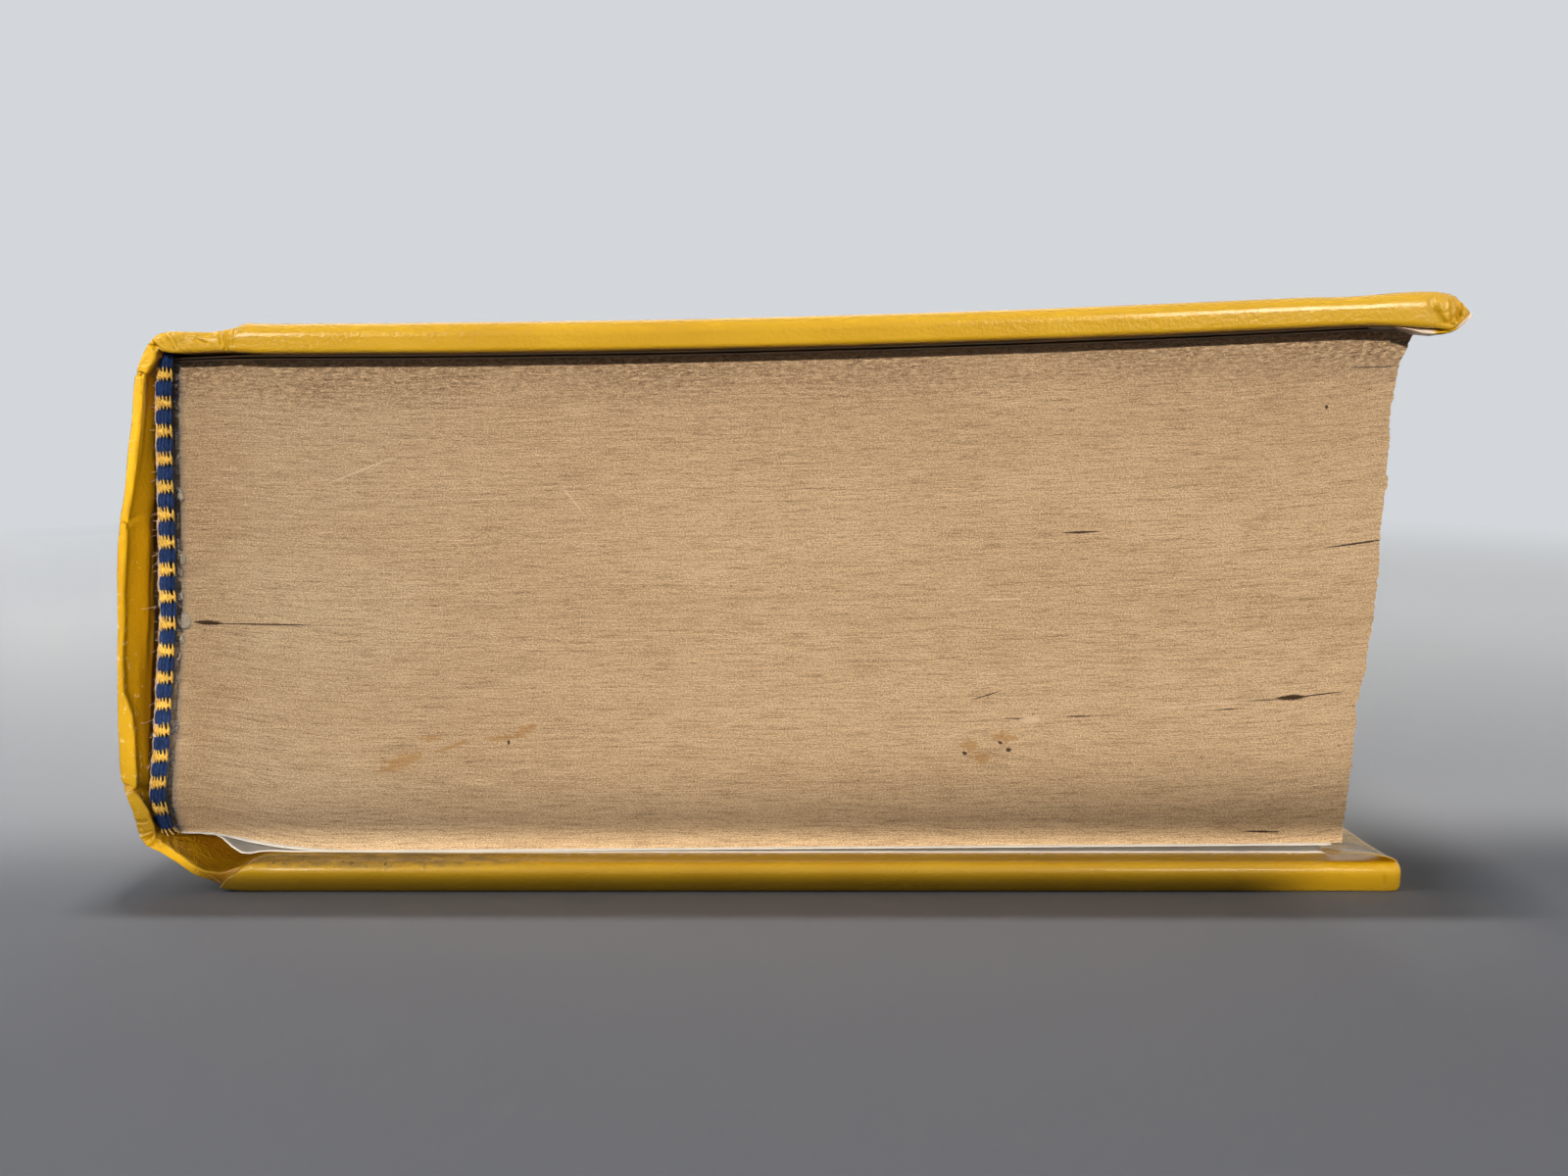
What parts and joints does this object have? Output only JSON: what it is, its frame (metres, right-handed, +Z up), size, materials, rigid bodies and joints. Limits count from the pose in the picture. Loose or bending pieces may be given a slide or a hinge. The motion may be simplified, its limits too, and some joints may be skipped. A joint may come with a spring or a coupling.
{
  "type": "hardcover book",
  "caption": "Thick hardcover book with hinged covers, a hollow spine, woven headbands, endpapers and a rough-cut fore-edge, closed and lying flat.",
  "frame": {"origin": "centre of the bounding box's underside, on the surface that the back cover lies on", "axes": "+Z up through the thickness, +X from the spine to the fore-edge, +Y from the head to the tail of the pages"},
  "size_m": [0.1536, 0.2222, 0.0687],
  "materials": {
    "cover_paper": "gloss",
    "pages": "matte",
    "endpaper": "matte",
    "board": "matte",
    "inlay_card": "matte",
    "lining": "matte",
    "mull": "matte",
    "headband": "matte",
    "glue": "satin"
  },
  "bodies": {
    "text_block": {"text_block": "pages", "front_flyleaf": "endpaper", "back_flyleaf": "endpaper", "spine_glue": "glue", "spine_mull": "mull", "spine_lining": "lining", "headband": "headband", "tailband": "headband", "spine_inlay": "inlay_card", "spine_cover_paper": "cover_paper"},
    "front_cover": {"front_board": "board", "front_cover_paper": "cover_paper", "front_pastedown": "endpaper", "front_mull": "mull"},
    "back_cover": {"back_board": "board", "back_cover_paper": "cover_paper", "back_pastedown": "endpaper", "back_mull": "mull"}
  },
  "joints": [
    {"name": "front_cover_hinge", "type": "hinge", "parent": "text_block", "child": "front_cover", "pos_m": [-0.0674, 0, 0.06369], "axis": [0, -1, 0], "range_deg": [0, 180]},
    {"name": "back_cover_hinge", "type": "hinge", "parent": "text_block", "child": "back_cover", "pos_m": [-0.07515, 0, 0.0064], "axis": [0, 1, 0], "range_deg": [0, 180]}
  ]
}
